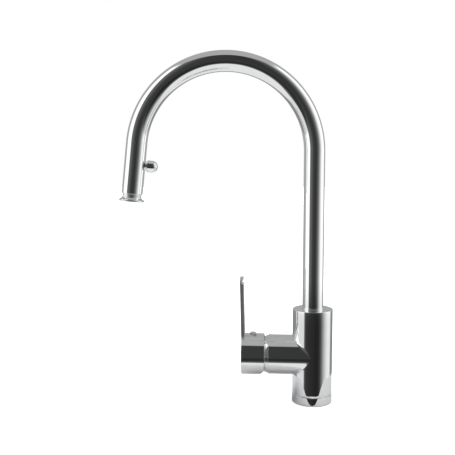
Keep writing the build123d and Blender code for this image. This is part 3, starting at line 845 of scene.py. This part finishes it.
def make_deck_nut():
    """A hexagon nut with turned corners on both faces."""
    bore, bevel = 16.36, 0.8
    across = 26.5 * math.cos(math.pi / 6)
    slope = math.tan(math.radians(28))
    work = bmesh.new()
    columns = []
    for t in even_turns(144):
        side = across / math.cos((t % (math.pi / 3)) - math.pi / 6)
        drop = max(0.0, side - across) * slope + 0.05
        face_radius = across - 0.6
        outline = [
            (bore, NUT_LOW + bevel),
            (bore + bevel, NUT_LOW),
            (face_radius, NUT_LOW),
            (side - 0.05, NUT_LOW + drop),
            (side - 0.05, NUT_HIGH - drop),
            (face_radius, NUT_HIGH),
            (bore + bevel, NUT_HIGH),
            (bore, NUT_HIGH - bevel),
        ]
        columns.append([work.verts.new((r * math.cos(t), r * math.sin(t), z)) for r, z in outline])
    join_rings(work, list(zip(*columns)), closed_loop=True)
    return finish_mesh("deck_nut_form", work, WORLD, 20)


def make_deck_washer():
    outline = [(CLAMP_BORE, NUT_HIGH, 0.2), (CLAMP_RADIUS, NUT_HIGH, 0.5)]
    outline += [(CLAMP_RADIUS, WASHER_HIGH, 0.5), (CLAMP_BORE, WASHER_HIGH, 0.2)]
    return lathe("deck_washer_form", outline)


def make_deck_gasket():
    outline = [(CLAMP_BORE, WASHER_HIGH, 0.3), (CLAMP_RADIUS, WASHER_HIGH, 0.8)]
    outline += [(CLAMP_RADIUS, GASKET_HIGH, 0.8), (CLAMP_BORE, GASKET_HIGH, 0.3)]
    return lathe("deck_gasket_form", outline)


# ---- Materials ----


def new_material(name):
    material = bpy.data.materials.new(name)
    material.use_nodes = True
    nodes = material.node_tree.nodes
    return material, nodes, material.node_tree.links, nodes["Principled BSDF"]


def object_place(nodes, links, scale):
    """Object coordinates, which are the row frame's metres, times a scale."""
    place = nodes.new("ShaderNodeTexCoord")
    mapping = nodes.new("ShaderNodeMapping")
    mapping.inputs["Scale"].default_value = scale
    links.new(place.outputs["Object"], mapping.inputs["Vector"])
    return mapping.outputs["Vector"]


def noise(nodes, links, vector, scale, detail=3.0, roughness=0.5):
    texture = nodes.new("ShaderNodeTexNoise")
    texture.inputs["Scale"].default_value = scale
    texture.inputs["Detail"].default_value = detail
    texture.inputs["Roughness"].default_value = roughness
    links.new(vector, texture.inputs["Vector"])
    return texture.outputs["Fac"]


def spread(nodes, links, value, low, high):
    """Maps a 0 to 1 value to a range."""
    node = nodes.new("ShaderNodeMapRange")
    node.inputs["To Min"].default_value = low
    node.inputs["To Max"].default_value = high
    links.new(value, node.inputs["Value"])
    return node.outputs["Result"]


def tint(nodes, links, value, dark, light):
    ramp = nodes.new("ShaderNodeValToRGB")
    ramp.color_ramp.elements[0].color = (*dark, 1)
    ramp.color_ramp.elements[1].color = (*light, 1)
    ramp.color_ramp.elements[0].position = 0.3
    ramp.color_ramp.elements[1].position = 0.7
    links.new(value, ramp.inputs["Fac"])
    return ramp.outputs["Color"]


def bump(nodes, links, shader, height, strength, distance):
    node = nodes.new("ShaderNodeBump")
    node.inputs["Strength"].default_value = strength
    node.inputs["Distance"].default_value = distance
    links.new(height, node.inputs["Height"])
    links.new(node.outputs["Normal"], shader.inputs["Normal"])


def metal(name, dark, light, rough, grain_scale, grain_stretch=(1, 1, 1), bumpiness=0.0):
    """A metal with a slightly uneven tone and gloss."""
    material, nodes, links, shader = new_material(name)
    shader.inputs["Metallic"].default_value = 1.0
    even = object_place(nodes, links, (1, 1, 1))
    grain = object_place(nodes, links, grain_stretch)
    tone = noise(nodes, links, even, 60.0)
    links.new(tint(nodes, links, tone, dark, light), shader.inputs["Base Color"])
    wear = noise(nodes, links, grain, grain_scale, 5.0, 0.6)
    links.new(spread(nodes, links, wear, rough[0], rough[1]), shader.inputs["Roughness"])
    if bumpiness:
        bump(nodes, links, shader, wear, bumpiness, 0.0001)
    return material


def moulded(name, dark, light, rough, grain=900.0, bumpiness=0.15, coat=0.0):
    """Moulded plastic, rubber or ceramic with a fine surface grain."""
    material, nodes, links, shader = new_material(name)
    even = object_place(nodes, links, (1, 1, 1))
    tone = noise(nodes, links, even, 45.0)
    links.new(tint(nodes, links, tone, dark, light), shader.inputs["Base Color"])
    fine = noise(nodes, links, even, grain, 4.0, 0.6)
    links.new(spread(nodes, links, fine, rough[0], rough[1]), shader.inputs["Roughness"])
    shader.inputs["Coat Weight"].default_value = coat
    bump(nodes, links, shader, fine, bumpiness, 0.0001)
    return material


CHROME = metal("chrome_plate", (0.86, 0.87, 0.88), (0.9, 0.905, 0.91), (0.015, 0.05), 240.0)
SATIN = metal("satin_chrome", (0.86, 0.87, 0.88), (0.9, 0.905, 0.91), (0.36, 0.44), 500.0)
BRASS = metal("machined_brass", (0.58, 0.42, 0.2), (0.74, 0.57, 0.3), (0.22, 0.42), 700.0, (1, 1, 6), 0.2)
STEEL = metal("machined_steel", (0.52, 0.53, 0.55), (0.66, 0.67, 0.69), (0.2, 0.38), 800.0, (1, 1, 5), 0.15)
SCREEN = metal("screen_wire", (0.4, 0.41, 0.43), (0.55, 0.56, 0.58), (0.25, 0.4), 900.0)
WHITE_PLASTIC = moulded("white_plastic", (0.78, 0.78, 0.76), (0.84, 0.84, 0.82), (0.35, 0.5))
GREY_PLASTIC = moulded("grey_plastic", (0.1, 0.1, 0.105), (0.15, 0.15, 0.155), (0.4, 0.55))
PLUG = moulded("plug_plastic", (0.46, 0.47, 0.49), (0.54, 0.55, 0.57), (0.2, 0.3), 900.0, 0.05, 0.3)
CERAMIC = moulded("lapped_ceramic", (0.86, 0.85, 0.82), (0.92, 0.91, 0.88), (0.08, 0.16), 1500.0, 0.05, 0.4)
RUBBER = moulded("seal_rubber", (0.012, 0.012, 0.012), (0.03, 0.03, 0.03), (0.55, 0.75), 700.0, 0.3)


def make_braid_material():
    """Grey woven strands with a soft sheen."""
    material, nodes, links, shader = new_material("hose_braid")
    even = object_place(nodes, links, (1, 1, 1))
    strand = noise(nodes, links, even, 1400.0, 4.0, 0.6)
    colour = tint(nodes, links, strand, (0.16, 0.165, 0.18), (0.34, 0.35, 0.37))
    links.new(colour, shader.inputs["Base Color"])
    links.new(spread(nodes, links, strand, 0.45, 0.7), shader.inputs["Roughness"])
    shader.inputs["Sheen Weight"].default_value = 0.3
    bump(nodes, links, shader, strand, 0.4, 0.0002)
    return material


BRAID = make_braid_material()

SLOT_MATERIALS = {
    "chrome": CHROME,
    "cast_brass": BRASS,
    "steel": STEEL,
    "screen": SCREEN,
    "white_plastic": WHITE_PLASTIC,
    "grey_plastic": GREY_PLASTIC,
    "plug": PLUG,
    "ceramic": CERAMIC,
    "seal_rubber": RUBBER,
    "hose_braid": BRAID,
}

# ---- Pieces, their bodies and the CAD nodes that they stand for ----


def add(piece, body, slot_name, *nodes):
    """Gives a piece its slot's material and its body, and hides the CAD nodes that it stands for."""
    piece.data.materials.clear()
    piece.data.materials.append(SLOT_MATERIALS[slot_name])
    if body:
        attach(piece, body)
    if nodes:
        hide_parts(*nodes)
    return piece


def satin_faces(piece, axis, limit):
    """Gives a piece's faces a satin finish where they stand round an axis, not across it."""
    piece.data.materials.append(SATIN)
    for face in piece.data.polygons:
        face.material_index = int(abs(face.normal.dot(axis)) < limit)


for part in frame["record"]["subparts"]:
    node = frame["nodes"][part["node"]]
    node.data.materials.clear()
    node.data.materials.append(SLOT_MATERIALS[part["material_slot"]])

add(make_body_form(), "body", "chrome", "body_shell")
add(make_base_ring(), "body", "chrome", "base_ring")
add(make_spout_lock_screw(), "body", "steel", "spout_lock_screw")
add(make_dome(), "body", "chrome", "dome_cover")
add(make_shank(), "body", "cast_brass", "shank")
add(make_coupling(), "body", "cast_brass", "hose_coupling")
add(make_deck_hose(), "body", "hose_braid", "hose_in_body")
add(make_hub(), "handle", "chrome", "handle_hub")
blade = add(make_blade(), "handle", "chrome", "lever_blade")
satin_faces(blade, Vector((1, 0, 0)), 0.7)
add(make_plug(), "handle", "plug", "screw_plug")
add(make_spout(), "spout", "chrome", "spout_tube")
add(make_collar(), "spout", "chrome", "spout_collar")
add(make_wand_shell(), "wand", "chrome", "wand_shell")
add(make_bezel(), "wand", "chrome", "button_bezel")
nozzle = add(make_nozzle(), "wand", "chrome", "nozzle_ring")
satin_faces(nozzle, WAND_DOWN, 0.6)
add(make_spray_face(), "wand", "grey_plastic", "spray_plate")
add(make_aerator(), "wand", "grey_plastic", "aerator")
add(make_screen(), "wand", "screen", "aerator_screen")
add(make_knob(), "button", "chrome", "button_knob")
add(make_deck_nut(), "deck_clamp", "cast_brass", "deck_nut")
add(make_deck_washer(), "deck_clamp", "steel", "deck_washer")
add(make_deck_gasket(), "deck_clamp", "seal_rubber", "deck_gasket")

spring = add(make_spring(), "wand", "steel", "button_spring")
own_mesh(spring)

pulled_hose = add(make_pulled_hose(), None, "hose_braid", "hose_pull_out")
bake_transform(pulled_hose)

# ---- Stage, light and camera ----

IMAGE_WIDTH = 455.0
FOCAL_IN_IMAGE = 728.42
CAMERA_PLACE = Vector((-39.2, -902.7, 312.8))
CAMERA_YAW = 0.0750
CAMERA_PITCH = 0.1020


def make_camera():
    data = bpy.data.cameras.new("camera")
    data.sensor_width = 36.0
    data.lens = FOCAL_IN_IMAGE / IMAGE_WIDTH * data.sensor_width
    data.clip_start = 0.01
    camera = bpy.data.objects.new("camera", data)
    bpy.context.scene.collection.objects.link(camera)
    camera.location = CAMERA_PLACE * MM
    forward = Vector(
        (
            -math.sin(CAMERA_YAW) * math.cos(CAMERA_PITCH),
            math.cos(CAMERA_YAW) * math.cos(CAMERA_PITCH),
            -math.sin(CAMERA_PITCH),
        )
    )
    camera.rotation_mode = "QUATERNION"
    camera.rotation_quaternion = forward.to_track_quat("-Z", "Y")
    bpy.context.scene.camera = camera


def make_floor_material(name, dark, light, glow=0.0):
    material, nodes, links, shader = new_material(name)
    shader.inputs["Emission Color"].default_value = (1, 1, 1, 1)
    shader.inputs["Emission Strength"].default_value = glow
    even = object_place(nodes, links, (1, 1, 1))
    tone = noise(nodes, links, even, 6.0)
    links.new(tint(nodes, links, tone, [dark] * 3, [light] * 3), shader.inputs["Base Color"])
    shader.inputs["Roughness"].default_value = 0.9
    return material


def close_reach(turn):
    """How far the floor's painted shade, which only the chrome reflects, goes, shortest towards the viewer.
    """
    off = math.acos(max(-1.0, min(1.0, -math.sin(turn))))
    part = min(1.0, off / CLOSE_SPREAD)
    return CLOSE_FRONT + (CLOSE_SIDE - CLOSE_FRONT) * part * part * (3 - 2 * part)


def make_floor(name, material, level, inner, outer):
    """A flat ring of floor between two outlines, each a radius for every turn."""
    work = bmesh.new()
    turns = even_turns(FLOOR_STEPS)
    rings = []
    for reach in (inner, outer):
        rings.append([work.verts.new((reach(t) * math.cos(t), reach(t) * math.sin(t), level)) for t in turns])
    join_rings(work, rings)
    floor = finish_mesh(name, work, WORLD)
    floor.data.materials.append(material)
    return floor


def make_backdrop():
    """A white surround that the camera sees on every side, and that the chrome doesn't reflect."""
    material, nodes, links, shader = new_material("white_surround")
    shader.inputs["Base Color"].default_value = (0, 0, 0, 1)
    shader.inputs["Specular IOR Level"].default_value = 0.0
    shader.inputs["Emission Color"].default_value = (1, 1, 1, 1)
    shader.inputs["Emission Strength"].default_value = 1.0
    outline = [(SURROUND, -SURROUND_DEPTH), (SURROUND, SURROUND), (0, SURROUND)]
    backdrop = lathe("surround", outline, steps=64, closed=False)
    backdrop.data.materials.append(material)
    for ray in ("visible_glossy", "visible_diffuse", "visible_transmission", "visible_shadow"):
        setattr(backdrop, ray, False)


def make_floor_light():
    """A soft light from above that whitens the floor and leaves no spot in the chrome."""
    data = bpy.data.lights.new("overhead", "SUN")
    data.energy = 1.85
    data.angle = math.radians(60)
    light = bpy.data.objects.new("overhead", data)
    bpy.context.scene.collection.objects.link(light)
    light.location = (0, 0, 2)
    light.visible_glossy = False


FLOOR_LEVEL = -0.05
FLOOR_STEPS = 128
SHANK_HOLE = 17.6
CLOSE_FRONT = 30.0
CLOSE_SIDE = 132.0
CLOSE_SPREAD = math.radians(75)
FAR_REACH = 5900.0
SURROUND = 6000.0
SURROUND_DEPTH = 10.0
pale = make_floor_material("pale_floor", 0.93, 0.95, 0.7)
# Painted shade: a darker copy of the pale floor, for the chrome to reflect near the faucet.
painted_shade = make_floor_material("painted_shade_floor", 0.68, 0.7)
floor = make_floor("floor", pale, FLOOR_LEVEL, lambda turn: SHANK_HOLE, lambda turn: FAR_REACH)
floor.visible_glossy = False
# Only the chrome sees this one: a darker copy of the floor, painted shade that stands for the floor in the
# faucet's own shade.
shaded_floor = make_floor("floor_in_chrome", painted_shade, FLOOR_LEVEL + 0.01, lambda turn: SHANK_HOLE, close_reach)
for ray in ("visible_camera", "visible_diffuse", "visible_shadow"):
    setattr(shaded_floor, ray, False)
make_backdrop()
make_floor_light()


def world_ramp(nodes, links, value, stops):
    ramp = nodes.new("ShaderNodeValToRGB")
    ramp.color_ramp.interpolation = "EASE"
    elements = ramp.color_ramp.elements
    while len(elements) < len(stops):
        elements.new(0.5)
    for element, (position, level) in zip(elements, stops):
        element.position = position
        element.color = (level, level, level, 1)
    links.new(value, ramp.inputs["Fac"])
    return ramp.outputs["Color"]


def math_node(nodes, links, operation, *values):
    node = nodes.new("ShaderNodeMath")
    node.operation = operation
    for socket, value in zip(node.inputs, values):
        if isinstance(value, (int, float)):
            socket.default_value = value
        else:
            links.new(value, socket)
    return node.outputs[0]


def mix_node(nodes, links, factor, first, second):
    mix = nodes.new("ShaderNodeMix")
    mix.data_type = "RGBA"
    links.new(factor, mix.inputs["Factor"])
    links.new(first, mix.inputs["A"])
    links.new(second, mix.inputs["B"])
    return mix.outputs["Result"]


def make_world():
    """A light tent: bright at both sides, grey behind and above, and dark towards the camera."""
    world = bpy.data.worlds.new("tent")
    bpy.context.scene.world = world
    world.use_nodes = True
    nodes, links = world.node_tree.nodes, world.node_tree.links
    background = nodes["Background"]
    coords = nodes.new("ShaderNodeTexCoord")
    split = nodes.new("ShaderNodeSeparateXYZ")
    links.new(coords.outputs["Generated"], split.inputs["Vector"])
    x, y, z = split.outputs
    backward = math_node(nodes, links, "MULTIPLY", y, -1.0)
    azimuth = math_node(nodes, links, "ARCTAN2", x, backward)
    turn = math_node(nodes, links, "MULTIPLY_ADD", azimuth, 1 / (2 * math.pi), 0.5)
    height = math_node(nodes, links, "ARCSINE", z)
    rise = math_node(nodes, links, "MULTIPLY_ADD", height, 1 / math.pi, 0.5)
    around = world_ramp(nodes, links, turn, AROUND)
    around_low = world_ramp(nodes, links, turn, AROUND_LOW)
    walls = mix_node(nodes, links, world_ramp(nodes, links, rise, LOW_WALLS), around, around_low)
    opening = world_ramp(nodes, links, rise, OPENING)
    above = world_ramp(nodes, links, rise, ABOVE)
    links.new(mix_node(nodes, links, opening, above, walls), background.inputs["Color"])
    background.inputs["Strength"].default_value = 1.0


def turn_at(degrees):
    return 0.5 + degrees / 360.0


def rise_at(degrees):
    return 0.5 + degrees / 180.0


# Azimuth from the camera's side, positive towards +X, and the brightness there.
AROUND = [
    (turn_at(-180), 0.42),
    (turn_at(-103), 0.42),
    (turn_at(-97), 1.25),
    (turn_at(-53), 1.25),
    (turn_at(-49), 0.16),
    (turn_at(-28), 0.12),
    (turn_at(-17), 0.066),
    (turn_at(-6), 0.045),
    (turn_at(15), 0.035),
    (turn_at(26), 0.06),
    (turn_at(37), 0.11),
    (turn_at(49), 0.23),
    (turn_at(62), 0.53),
    (turn_at(75), 0.92),
    (turn_at(90), 1.2),
    (turn_at(116), 1.2),
    (turn_at(124), 0.42),
    (turn_at(180), 0.42),
]
# The same lower down, where the walls are dimmer.
AROUND_LOW = [
    (turn_at(-180), 0.26),
    (turn_at(-103), 0.26),
    (turn_at(-97), 0.78),
    (turn_at(-54), 0.78),
    (turn_at(-47), 0.085),
    (turn_at(-35), 0.035),
    (turn_at(-7), 0.026),
    (turn_at(20), 0.018),
    (turn_at(31), 0.02),
    (turn_at(43), 0.055),
    (turn_at(55), 0.19),
    (turn_at(61), 0.35),
    (turn_at(68), 0.49),
    (turn_at(80), 0.72),
    (turn_at(94), 0.9),
    (turn_at(116), 0.9),
    (turn_at(124), 0.26),
    (turn_at(180), 0.26),
]
# Elevation, and how much of the lower pattern shows there.
LOW_WALLS = [(rise_at(-13.5), 1.0), (rise_at(-9.5), 0.0)]
# Elevation, and how much of the walls' pattern shows there rather than the ceiling or floor.
OPENING = [
    (rise_at(-90), 0.0),
    (rise_at(-39.5), 0.0),
    (rise_at(-34.5), 0.88),
    (rise_at(-24), 1.0),
    (rise_at(56), 1.0),
    (rise_at(62), 0.0),
    (rise_at(90), 0.0),
]
ABOVE = [(rise_at(-90), 0.85), (rise_at(-40), 0.85), (rise_at(56), 0.44), (rise_at(90), 0.44)]

make_camera()
make_world()
bpy.context.scene.view_settings.view_transform = "Standard"
